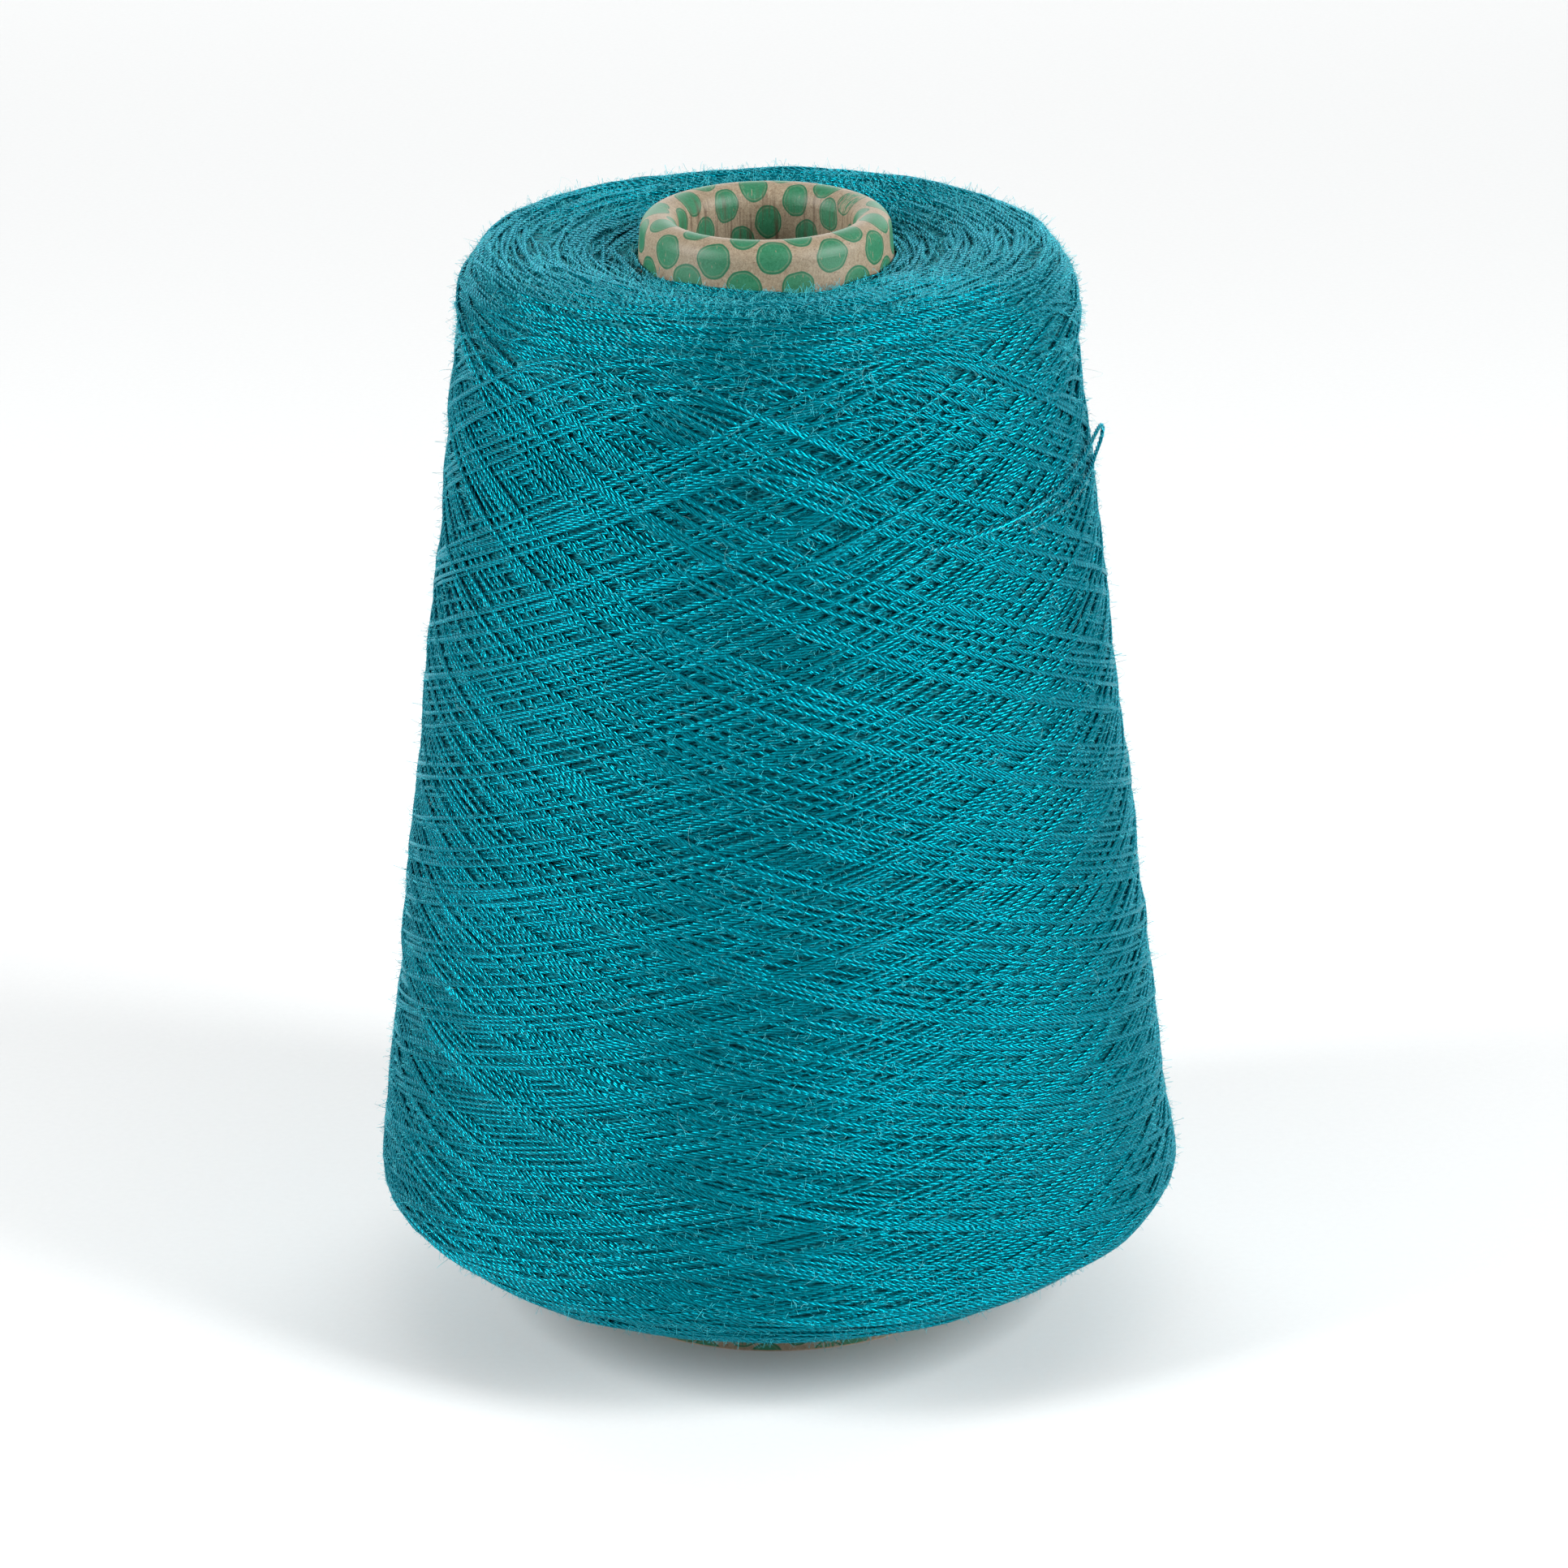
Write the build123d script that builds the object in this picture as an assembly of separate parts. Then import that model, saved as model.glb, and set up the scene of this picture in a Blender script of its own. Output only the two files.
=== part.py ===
"""Yarn cone: a cross-wound package of twisted yarn on a wound-paper cone with a rolled nose.

The cone stands on its wide end.  Origin: centre of that end.  +Z: up the cone's axis.
All sizes are in millimetres and degrees.
"""

from build123d import *

import os
from math import atan, atan2, cos, degrees, hypot, pi, radians, sin, tan

# ---- paper cone ----------------------------------------------------------------------------
CONE_LENGTH = 170.0          # over the rolled nose
CONE_BASE_DIAMETER = 62.5    # outside, at the wide end
CONE_HALF_ANGLE = 4.0 + 20.0 / 60.0
BOARD_THICKNESS = 2.3        # kraft plies glued together
PLY_THICKNESS = 0.25         # printed outer ply
GLUE_LINE = 0.03             # between the board and the printed ply
PLY_EDGE_SETBACK = 0.3       # the printed ply is trimmed just short of the board's cut edge

# ---- rolled nose ---------------------------------------------------------------------------
ROLL_CORE = 0.47             # glue and air between the wall and its turned-in edge
THROAT_LAND = 6.0            # straight stretch of the throat below the roll
TURN_IN_DEPTH = 22.0         # how far the turned-in edge reaches below the top of the nose
LIP_END_THICKNESS = 1.2      # turned-in edge, board and ply together, at its lower end

# ---- wound package -------------------------------------------------------------------------
SEAT_CLEARANCE = 0.05        # between the printed ply and the innermost wraps
PACKAGE_START = 7.5          # height of the lowest wraps on the cone
BELLY_DIAMETER = 121.0       # widest wraps
BELLY_HEIGHT = 21.5
SHOULDER_DIAMETER = 91.4     # where the tapered side ends
SHOULDER_DEPTH = 20.5        # from the top of the nose down to that place
SHOULDER_BAND = 6.0          # nearly upright band above the tapered side, where the wraps reverse
SHOULDER_CORNER_WIDTH = 5.5  # rounded top corner, measured across
CROWN_DEPTH = 5.0            # from the top of the nose down to the highest wraps
CROWN_WIDTH = 5.0            # level stretch inside the rounded corner
NOSE_STAND_OUT = 7.6         # the nose stands this far above the wraps that touch it

# ---- outer end of the yarn -----------------------------------------------------------------
YARN_DIAMETER = 0.7
# The last stretch is doubled back into a hairpin and tucked under at both ends.
# Each point: azimuth from +X (negative is the front), height, distance from the tapered side.
END_ROUTE = [
    (-62.0, 131.3, 0.65),
    (-53.0, 131.9, 0.72),
    (-44.0, 132.6, 0.73),
    (-35.0, 133.4, 0.74),
    (-26.0, 134.4, 0.73),
    (-17.0, 135.5, 0.76),
    (-8.5, 136.4, 1.09),
    (-1.5, 136.9, 2.04),
    (1.4, 135.9, 2.58),
    (-0.6, 134.5, 2.02),
    (-6.0, 133.4, 0.99),
    (-13.5, 132.5, 0.78),
    (-22.0, 131.6, 0.78),
    (-31.0, 130.9, 0.75),
    (-40.0, 130.4, 0.74),
]
TIGHTEST_FOLD = 0.9          # smallest radius let in at the hairpin's turn
ARC_SHARE = 0.45             # of the shorter run that an arc takes up at its corner

TAPER = tan(radians(CONE_HALF_ANGLE))


def cone_radius(height):
    """Outside radius of the cone, over the printed ply."""
    return CONE_BASE_DIAMETER / 2 - height * TAPER


# The nose roll is two walls thick.  It touches the cone's outside and tops out at the cone's length.
ROLL_RADIUS = BOARD_THICKNESS + PLY_THICKNESS + ROLL_CORE / 2
ROLL_HEIGHT = CONE_LENGTH - ROLL_RADIUS
ROLL_CENTRE = cone_radius(ROLL_HEIGHT) - ROLL_RADIUS / cos(radians(CONE_HALF_ANGLE))
THROAT_RADIUS = ROLL_CENTRE - ROLL_RADIUS
LAND_END = ROLL_HEIGHT - THROAT_LAND
LIP_END = CONE_LENGTH - TURN_IN_DEPTH
SHOULDER_HEIGHT = CONE_LENGTH - SHOULDER_DEPTH
CROWN_HEIGHT = CONE_LENGTH - CROWN_DEPTH
SIDE_TAPER = (BELLY_DIAMETER - SHOULDER_DIAMETER) / 2 / (SHOULDER_HEIGHT - BELLY_HEIGHT)
WALL = BOARD_THICKNESS + GLUE_LINE + PLY_THICKNESS


def bore_radius(height):
    """Radius of the cone's plain inside, below the turned-in edge."""
    return cone_radius(height) - WALL / cos(radians(CONE_HALF_ANGLE))


def side_radius(height):
    """Radius of the package's tapered side."""
    return BELLY_DIAMETER / 2 - (height - BELLY_HEIGHT) * SIDE_TAPER


def nose_skin(inset, base_height):
    """Outline inset from the finished skin: up the outside, over the roll, down the throat.

    Returns its edges and its two end points, the one at the base and the one at the lip.
    """
    lean = radians(CONE_HALF_ANGLE)
    base_point = (cone_radius(base_height) - inset / cos(lean), base_height)
    roll = ROLL_RADIUS - inset
    roll_start = (ROLL_CENTRE + roll * cos(lean), ROLL_HEIGHT + roll * sin(lean))
    roll_end = (ROLL_CENTRE - roll, ROLL_HEIGHT)
    land_point = (ROLL_CENTRE - roll, LAND_END)
    lip_skin = bore_radius(LIP_END) - LIP_END_THICKNESS
    lip_point = (lip_skin + inset, LIP_END)
    middle = (lean + pi) / 2
    roll_middle = (ROLL_CENTRE + roll * cos(middle), ROLL_HEIGHT + roll * sin(middle))
    edges = [
        Line(base_point, roll_start),
        ThreePointArc(roll_start, roll_middle, roll_end),
        Line(roll_end, land_point),
        Line(land_point, lip_point),
    ]
    return edges, base_point, lip_point


def turned(edges):
    """Solid of revolution of a closed outline drawn as radius and height."""
    face = Plane.XZ * make_face(edges)
    return revolve(face, Axis.Z, 360)


def make_cone_board():
    """Kraft board body: tapered wall, rolled nose and turned-in edge."""
    skin, base_point, lip_point = nose_skin(PLY_THICKNESS + GLUE_LINE, 0.0)
    lip_corner = (bore_radius(LIP_END), LIP_END)
    base_corner = (bore_radius(0.0), 0.0)
    outline = skin + [
        Line(lip_point, lip_corner),
        Line(lip_corner, base_corner),
        Line(base_corner, base_point),
    ]
    return turned(outline)


def make_printed_wrap():
    """Thin printed ply over the outside, the nose roll and the turned-in edge."""
    outer, outer_base, outer_lip = nose_skin(0.0, PLY_EDGE_SETBACK)
    inner, inner_base, inner_lip = nose_skin(PLY_THICKNESS, PLY_EDGE_SETBACK)
    return turned(outer + inner + [Line(outer_base, inner_base), Line(outer_lip, inner_lip)])


def make_yarn_package():
    """Wound yarn: rounded belly, tapered side, rounded shoulder and a dished top."""
    start = (cone_radius(PACKAGE_START) + SEAT_CLEARANCE, PACKAGE_START)
    belly = BELLY_DIAMETER / 2
    shoulder = SHOULDER_DIAMETER / 2
    across = belly - start[0]
    drop = BELLY_HEIGHT - PACKAGE_START
    # The belly's quarter ellipse runs on to the point where it leans in as the side does.
    belly_end_angle = degrees(atan(SIDE_TAPER * drop / across))
    belly_arc = EllipticalCenterArc(
        (start[0], BELLY_HEIGHT), across, drop, start_angle=-90, arc_size=90 + belly_end_angle
    )
    band_foot = (shoulder, SHOULDER_HEIGHT)
    corner_centre = (shoulder - SHOULDER_CORNER_WIDTH, SHOULDER_HEIGHT + SHOULDER_BAND)
    corner_rise = CROWN_HEIGHT - corner_centre[1]
    corner_arc = EllipticalCenterArc(
        corner_centre, SHOULDER_CORNER_WIDTH, corner_rise, start_angle=0, arc_size=90
    )
    side = Line(belly_arc @ 1, band_foot)
    band = Line(band_foot, corner_arc @ 0)
    crown_edge = (corner_centre[0] - CROWN_WIDTH, CROWN_HEIGHT)
    crown = Line(corner_arc @ 1, crown_edge)
    nose_contact_height = CONE_LENGTH - NOSE_STAND_OUT
    nose_contact = (cone_radius(nose_contact_height) + SEAT_CLEARANCE, nose_contact_height)
    dish = JernArc(crown_edge, (-1, 0), *dish_arc(crown_edge, nose_contact))
    seat = Line(dish @ 1, start)
    return turned([belly_arc, side, band, corner_arc, crown, dish, seat])


def dish_arc(crown_edge, nose_contact):
    """Radius and swept angle of the arc that leaves the crown level and falls to the nose."""
    run = crown_edge[0] - nose_contact[0]
    fall = crown_edge[1] - nose_contact[1]
    half_turn = atan2(fall, run)
    radius = hypot(run, fall) / (2 * sin(half_turn))
    return radius, degrees(2 * half_turn)


def make_yarn_outer_end():
    """Hairpin of the last yarn lying on the package, as a plain tube along its route."""
    points = []
    for azimuth, height, lift in END_ROUTE:
        far = side_radius(height) + lift
        points.append(Vector(far * cos(radians(azimuth)), far * sin(radians(azimuth)), height))
    radii = []
    for before, corner, after in zip(points, points[1:], points[2:]):
        turn = radians((corner - before).get_angle(after - corner))
        shorter = min((corner - before).length, (after - corner).length)
        radii.append(max(TIGHTEST_FOLD, ARC_SHARE * shorter / tan(turn / 2)))
    print("yarn end: bend radii", [round(radius, 1) for radius in radii])
    route = FilletPolyline(*points, radius=radii)
    section = Plane(origin=route @ 0, z_dir=route % 0) * Circle(YARN_DIAMETER / 2)
    tube = sweep(section, path=route)
    expected = pi * (YARN_DIAMETER / 2) ** 2 * route.length
    print("yarn end: length", round(route.length, 1), "fill", round(tube.volume / expected, 4))
    return tube


PARTS = {
    "cone_board": make_cone_board,
    "printed_wrap": make_printed_wrap,
    "yarn_package": make_yarn_package,
    "yarn_outer_end": make_yarn_outer_end,
}

os.makedirs("parts", exist_ok=True)
for name, make in PARTS.items():
    export_step(make(), os.path.join("parts", name + ".step"))
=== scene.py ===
import math

import bpy
import numpy as np
from mathutils import Matrix, Vector


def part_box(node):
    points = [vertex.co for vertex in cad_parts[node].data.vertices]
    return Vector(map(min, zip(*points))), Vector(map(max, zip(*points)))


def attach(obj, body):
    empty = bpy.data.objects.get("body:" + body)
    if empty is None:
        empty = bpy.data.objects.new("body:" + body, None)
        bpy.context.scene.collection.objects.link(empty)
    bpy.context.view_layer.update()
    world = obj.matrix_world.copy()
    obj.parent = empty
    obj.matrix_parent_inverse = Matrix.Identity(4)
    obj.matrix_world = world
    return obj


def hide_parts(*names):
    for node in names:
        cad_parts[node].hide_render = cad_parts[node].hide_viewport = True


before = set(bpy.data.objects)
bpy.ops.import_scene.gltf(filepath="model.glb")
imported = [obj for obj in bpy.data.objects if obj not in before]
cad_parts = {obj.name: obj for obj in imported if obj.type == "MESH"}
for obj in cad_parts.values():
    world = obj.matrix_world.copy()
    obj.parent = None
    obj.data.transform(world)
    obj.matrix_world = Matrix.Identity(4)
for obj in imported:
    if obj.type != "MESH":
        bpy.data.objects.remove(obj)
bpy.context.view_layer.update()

bl_info = {
    "name": "Wound yarn cone",
    "version": (1, 0, 0),
    "blender": (4, 5, 0),
    "location": "3D View > Sidebar > Yarn Cone",
    "description": "Winds silky yarn round a printed kraft cone and lights it on a pale sweep",
    "category": "Object",
}

MM = 0.001
TURN = 2 * math.pi


def linear(code):
    """An sRGB hex colour as the linear values that Blender's sockets take."""
    parts = [int(code[i:i + 2], 16) / 255 for i in (1, 3, 5)]
    return tuple(c / 12.92 if c <= 0.04045 else ((c + 0.055) / 1.055) ** 2.4 for c in parts)


def rgba(code):
    """The same, opaque, for a colour socket."""
    return (*linear(code), 1)


# ---------------------------------------------------------------- sizes and colours

class YarnSettings(bpy.types.PropertyGroup):
    diameter: bpy.props.FloatProperty(
        name="Yarn diameter", description="Thickness of the plied yarn as it lies on the package",
        default=0.0007, min=0.0003, unit="LENGTH", precision=5)
    wound_length: bpy.props.FloatProperty(
        name="Outer windings", default=460.0, min=50.0, unit="LENGTH",
        description="Length of yarn laid in the windings that show on the outside, to within a tenth")
    ply_count: bpy.props.IntProperty(
        name="Plies", description="How many singles are twisted together", default=3, min=2, max=4)
    ply_pitch: bpy.props.FloatProperty(
        name="Ply pitch", description="Length in which a ply goes once round the yarn",
        default=0.0036, min=0.001, unit="LENGTH", precision=5)
    nap_fibres: bpy.props.IntProperty(
        name="Nap fibres", description="Short fibres that stand up from the wound surface",
        default=52000, min=0)
    stray_fibres: bpy.props.IntProperty(
        name="Stray fibres", description="Longer loose fibres caught on the package", default=420, min=0)
    seed: bpy.props.IntProperty(
        name="Seed", description="Changes where the windings and fibres fall", default=11)
    dye: bpy.props.FloatVectorProperty(
        name="Dye", description="Colour of the dyed yarn", subtype="COLOR",
        default=linear("#0093A5"), min=0, max=1)
    # Painted shade: the dye darkened, standing for the shade where the plies meet and between the packed
    # yarn's ridges.
    groove_shade: bpy.props.FloatVectorProperty(
        name="Groove", description="Colour between the plies", subtype="COLOR",
        default=linear("#004C57"), min=0, max=1)
    gloss: bpy.props.FloatVectorProperty(
        name="Gloss", description="Tint of the silky gloss", subtype="COLOR",
        default=linear("#38D2E0"), min=0, max=1)


class ConeSettings(bpy.types.PropertyGroup):
    paper: bpy.props.FloatVectorProperty(
        name="Kraft paper", description="Colour of the unprinted kraft", subtype="COLOR",
        default=linear("#94826B"), min=0, max=1)
    ink: bpy.props.FloatVectorProperty(
        name="Dot ink", description="Colour of the printed dots", subtype="COLOR",
        default=linear("#27734E"), min=0, max=1)
    dot_diameter: bpy.props.FloatProperty(
        name="Dot diameter", description="Size of a printed dot", default=0.0053, unit="LENGTH",
        precision=4)
    dot_spacing: bpy.props.FloatProperty(
        name="Dot spacing", description="Distance between neighbouring dots", default=0.0063,
        unit="LENGTH", precision=4)


class StageSettings(bpy.types.PropertyGroup):
    distance: bpy.props.FloatProperty(
        name="Camera distance", description="From the camera to the point it looks at",
        default=1.038, unit="LENGTH")
    elevation: bpy.props.FloatProperty(
        name="Camera elevation", description="Angle above the horizon",
        default=math.radians(20.66), subtype="ANGLE", unit="ROTATION")
    roll: bpy.props.FloatProperty(
        name="Camera roll", description="Turn of the camera about its own line of sight",
        default=math.radians(0.69), subtype="ANGLE", unit="ROTATION")
    lens: bpy.props.FloatProperty(
        name="Lens", description="Focal length on a 36 mm sensor", default=157.4, unit="CAMERA")
    aim_height: bpy.props.FloatProperty(
        name="Aim height", description="Height of the point the camera looks at", default=0.080,
        unit="LENGTH")
    aim_side: bpy.props.FloatProperty(
        name="Aim side", description="How far beside the axis the camera looks", default=0.0017,
        unit="LENGTH", precision=4)
    softbox_power: bpy.props.FloatProperty(
        name="Softbox power", description="Power of each side softbox", default=11.0, unit="POWER")
    overhead_power: bpy.props.FloatProperty(
        name="Overhead light", description="Strength of the broad light above", default=1.06, min=0)


# ---------------------------------------------------------------- helpers

def feed(made, inputs):
    """Gives a node its input values, or links them to a socket or to another node's first live output.
    Inputs go by name, or by number: a Mix has its factor at 0 and its colours at 6 and 7, and a MapRange
    its value at 0, the range it comes from at 1 and 2, and the range it goes to at 3 and 4."""
    for key, value in inputs.items():
        if isinstance(value, bpy.types.Node):
            value = next(out for out in value.outputs if out.enabled)
        if isinstance(value, bpy.types.NodeSocket):
            made.id_data.links.new(value, made.inputs[key])
        else:
            made.inputs[key].default_value = value


def node(tree, kind, inputs=None, **settings):
    """Adds a shader node with its settings, then its input values or links."""
    made = tree.nodes.new("ShaderNode" + kind)
    for name, value in settings.items():
        setattr(made, name, value)
    feed(made, inputs or {})
    return made


def new_material(name):
    """An empty material with a Principled shader on its output."""
    material = bpy.data.materials.new(name)
    material.use_nodes = True
    tree = material.node_tree
    tree.nodes.clear()
    shader = node(tree, "BsdfPrincipled")
    node(tree, "OutputMaterial", {"Surface": shader})
    return material, tree, shader


def in_scene(name, data):
    made = bpy.data.objects.new(name, data)
    bpy.context.scene.collection.objects.link(made)
    return made


def own_piece(name, mesh, material, replaced):
    """Puts a mesh in the scene as a piece that rides on the cone, in place of a CAD node."""
    piece = in_scene(name, mesh)
    mesh.materials.append(material)
    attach(piece, "root")
    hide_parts(replaced)
    return piece


def repaint(node_name, material):
    """Gives a CAD node its detailed material."""
    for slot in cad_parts[node_name].material_slots:
        slot.material = material


def smoothed(values, sigma):
    """Gaussian smoothing along the first axis, with the ends held."""
    reach = int(max(1, round(3 * sigma)))
    kernel = np.exp(-0.5 * (np.arange(-reach, reach + 1) / sigma) ** 2)
    kernel /= kernel.sum()
    padded = np.concatenate([np.repeat(values[:1], reach, 0), values, np.repeat(values[-1:], reach, 0)])
    if values.ndim == 1:
        return np.convolve(padded, kernel, "valid")
    return np.stack([np.convolve(column, kernel, "valid") for column in padded.T], 1)


def unit(vectors):
    return vectors / np.maximum(np.linalg.norm(vectors, axis=-1, keepdims=True), 1e-12)


def distances(points):
    """How far each point lies along the line of them all."""
    return np.concatenate([[0], np.cumsum(np.linalg.norm(np.diff(points, axis=0), axis=1))])


# ---------------------------------------------------------------- the package's outline

class Outline:
    """The package's outline from the seat's foot, out under the belly, up the side and over the crown to
    the nose, in millimetres, and where a point at an angle, a distance along it and a height over it is."""

    STEP = 0.25                     # mm along the outline
    OFF_SEAT = 0.05                 # mm from the seat's straight line, beyond which a point isn't on the seat
    INSIDE = np.array([39.0, 85.0])     # mm, radius and height of a point inside that sees the whole outline
    EVEN = 1.2                      # mm over which the outline's direction is evened

    def __init__(self):
        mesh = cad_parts["yarn_package"].data
        points = np.empty(len(mesh.vertices) * 3)
        mesh.vertices.foreach_get("co", points)
        x, y, z = points.reshape(-1, 3).T / MM
        pairs = np.unique(np.round(np.stack([np.hypot(x, y), z], 1), 3), axis=0)
        foot = min(pairs.tolist(), key=lambda p: (p[1], p[0]))
        nose = min(pairs.tolist())
        lean = unit(np.subtract(nose, foot))
        off_seat = (pairs - foot) @ [lean[1], -lean[0]] > self.OFF_SEAT
        pairs = np.array([foot] + pairs[off_seat].tolist() + [nose])
        turned = np.arctan2(*(pairs - self.INSIDE).T[::-1])
        pairs = pairs[np.argsort(turned)]
        run = distances(pairs)
        self.length = run[-1]
        self.s = np.arange(0, self.length, self.STEP)
        line = np.stack([np.interp(self.s, run, pairs[:, i]) for i in (0, 1)], 1)
        self.r, self.z = line.T
        along = unit(np.gradient(smoothed(line, self.EVEN / self.STEP), axis=0))
        self.out_r, self.out_z = along[:, 1], -along[:, 0]
        self.belly, self.crown = int(np.argmax(self.r)), int(np.argmax(self.z))

    def at_height(self, z_mm):
        """The distance along the outline at which the side is at a height."""
        side = slice(self.belly, self.crown)
        return float(np.interp(z_mm, self.z[side], self.s[side]))

    def radius(self, s):
        return np.interp(s, self.s, self.r)

    def normal(self, phi, s):
        out_r, out_z = np.interp(s, self.s, self.out_r), np.interp(s, self.s, self.out_z)
        return np.stack([out_r * np.cos(phi), out_r * np.sin(phi), out_z], -1)

    def place(self, phi, s, height):
        r = self.radius(s)
        z = np.interp(s, self.s, self.z)
        base = np.stack([r * np.cos(phi), r * np.sin(phi), z], -1)
        return base + self.normal(phi, s) * np.asarray(height)[..., None]


# ---------------------------------------------------------------- laying the yarn

# The yarn as it lies. Lengths are in mm, and these are for a yarn of the nominal diameter.
NOMINAL_DIAMETER = 0.7
HALF_WIDTH = 0.36       # flattened a little by the winding tension
HALF_HEIGHT = 0.27
LAY_STEP = 0.4          # between the points at which a yarn is laid
CELL = 0.33             # of the height field, at the widest radius
BED_DEPTH = -2.6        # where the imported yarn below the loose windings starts
SINK = 0.29             # how far a yarn presses into what it lies on
RESTS_ON_TOP = 0.55     # share of a yarn's rest that the highest cell under it gives; the mean gives the rest
SLANT_BEND = 1.15       # how much larger a slanting yarn's bend is than the package's radius
STIFFNESS = 1.2         # laid points, over which a stiff yarn evens its height
STRETCH, LAP = 1300, 60     # laid points in a stretch that is laid at once, and past each of its ends
JOIN = 1.5              # laid points, over which the stretches are joined evenly
UNDER = (-0.2, 0.0, 0.2)                        # across a yarn, where it feels what is under it
TOUCHES = np.array([-0.3, -0.15, 0.0, 0.15, 0.3])       # across a yarn, where it raises the field

# The package once it is pressed.
STANDS_PROUD = 0.3      # how far the outermost yarns stand over the outline
PROUD_PERCENTILE = 90   # of the field's heights: which of them count as the outermost
PRESSED = 0.40          # share of the loose relief that stays once the layers above press it down
LOOSER_CROWN = 0.3      # how much more of that relief stays on the crown, which nothing presses
CROWN_HEIGHT = 153      # where the looser crown begins
CROWN_FADE = 8          # along the outline, in which it becomes fully looser
BED_BELOW = 0.40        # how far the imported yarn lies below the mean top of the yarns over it
BED_FADE = 3            # along the outline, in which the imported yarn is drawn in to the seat
NOSE_PILE = 1.1         # how much higher the yarn is packed against the nose
NOSE_PILE_FADE = 2.5    # along the outline, in which that pile falls to a third

# The guided path of the outer windings.
TURNS_BACK = (23, 147)      # heights near which the guide turns back
RUNS_ON = (7, 9)            # along the outline, how far beyond them it turns
CLIMB = (12, 9)             # climbed for each radian: low on the side, and how much more high up
CLIMB_RANGE = (30, 100)     # the height at which that change begins, and over how much height it comes
USUAL_RADIUS = 52           # of the side, from which a length's number of traverses is estimated
SIDE_RADIUS = 53            # of the side, for the step between laid points
TURN_PLACES = ((2.25, -0.75), (2.7, -0.3))      # spread and shift of the turns at the foot and at the crown
TURN_SOFTNESS = 0.16        # radians over which the yarn turns back
TURN_TIME = 0.9             # radians that a traverse takes at its ends
END_CLIMB = 14              # climbed for each radian there


class Package:
    """The heights of the yarn laid so far over the outline, as a field of angle and distance along it."""

    def __init__(self, outline):
        self.outline = outline
        self.turns = int(TURN * outline.r.max() / CELL)
        self.rows = int(outline.length / CELL) + 2
        self.field = np.full((self.rows, self.turns), BED_DEPTH, np.float32)

    def cells(self, phi, s):
        row = np.clip((s / CELL).astype(int), 0, self.rows - 1)
        return row, (phi / TURN * self.turns).astype(int) % self.turns

    def beside(self, phi, s, offsets):
        """The places a few offsets to each side of a yarn."""
        r = self.outline.radius(s)
        run = unit(np.stack([np.gradient(phi) * r, np.gradient(s)], 1))
        offsets = np.asarray(offsets)[:, None]
        return phi - offsets * run[:, 1] / r, s + offsets * run[:, 0]

    def lay(self, phi, s, keep=slice(None), dive=0.0):
        """Lays a taut yarn over the field and returns the height of its middle at each point."""
        under = self.field[self.cells(*self.beside(phi, s, UNDER))]
        under = RESTS_ON_TOP * under.max(0) + (1 - RESTS_ON_TOP) * under.mean(0)
        r = self.outline.radius(s)
        run = np.concatenate([[0], np.cumsum(np.hypot(np.diff(phi) * (r[1:] + r[:-1]) / 2, np.diff(s)))])
        height = self.taut(under, run, SLANT_BEND * float(r.mean())) + HALF_HEIGHT - SINK - dive
        height = smoothed(height, STIFFNESS)
        self.press(phi[keep], s[keep], height[keep])
        return height

    def press(self, phi, s, height):
        top = height + HALF_HEIGHT * np.sqrt(1 - (TOUCHES / HALF_WIDTH) ** 2)[:, None]
        np.maximum.at(self.field, self.cells(*self.beside(phi, s, TOUCHES)), top.astype(np.float32))

    @staticmethod
    def taut(under, run, bend):
        """A taut line over the heights under it, on a drum of that radius: the hull of what it touches."""
        level = (under - run * run / (2 * bend)).tolist()
        at = run.tolist()
        hull = []
        for i, (x, y) in enumerate(zip(at, level)):
            while len(hull) > 1:
                a, b = hull[-2], hull[-1]
                if (level[b] - level[a]) * (x - at[a]) <= (y - level[a]) * (at[b] - at[a]):
                    hull.pop()
                else:
                    break
            hull.append(i)
        hull = np.array(hull)
        return np.interp(run, run[hull], np.array(level)[hull]) + run * run / (2 * bend)

    def settle(self):
        """Brings the mean surface back to the outline, since the edges take more yarn than the side."""
        even_mm, blur_cells = 4, 3
        self.rise = smoothed(self.field.mean(1).astype(float), even_mm / CELL)
        self.proud = PRESSED * np.percentile(self.field - self.rise[:, None], PROUD_PERCENTILE)
        self.level_at = (np.arange(self.rows) + 0.5) * CELL
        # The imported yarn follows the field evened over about 2 mm.
        blur = np.exp(-2 * (math.pi * blur_cells * np.fft.rfftfreq(self.turns)) ** 2)
        evened = np.fft.irfft(np.fft.rfft(self.field, axis=1) * blur, self.turns, axis=1)
        self.even = smoothed(evened, blur_cells)

    def settled(self, s, height):
        """A height once the package is pressed and brought back to the outline."""
        pile = NOSE_PILE * np.exp(-(self.outline.length - s) / NOSE_PILE_FADE)
        on_crown = np.clip((s - self.outline.at_height(CROWN_HEIGHT)) / CROWN_FADE, 0, 1)
        loose = (PRESSED + LOOSER_CROWN * on_crown) * (height - np.interp(s, self.level_at, self.rise))
        return loose - self.proud + STANDS_PROUD + pile

    def bed(self, phi, s):
        """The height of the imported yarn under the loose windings, drawn in to the seat at both ends."""
        fade = np.minimum(1, np.minimum(s, self.outline.length - s) / BED_FADE + 0.1)
        return (self.settled(s, self.even[self.cells(phi, s)]) - BED_BELOW) * fade

    def shows(self, phi, s, height, depth):
        """Whether some of a yarn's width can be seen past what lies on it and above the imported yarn."""
        across = np.linspace(-HALF_WIDTH, HALF_WIDTH, 5)
        over = self.field[self.cells(*self.beside(phi, s, across))]
        shown = over.min(0) - (height + HALF_HEIGHT) < depth
        return shown & (self.settled(s, height) + HALF_HEIGHT > self.bed(phi, s))


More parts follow.
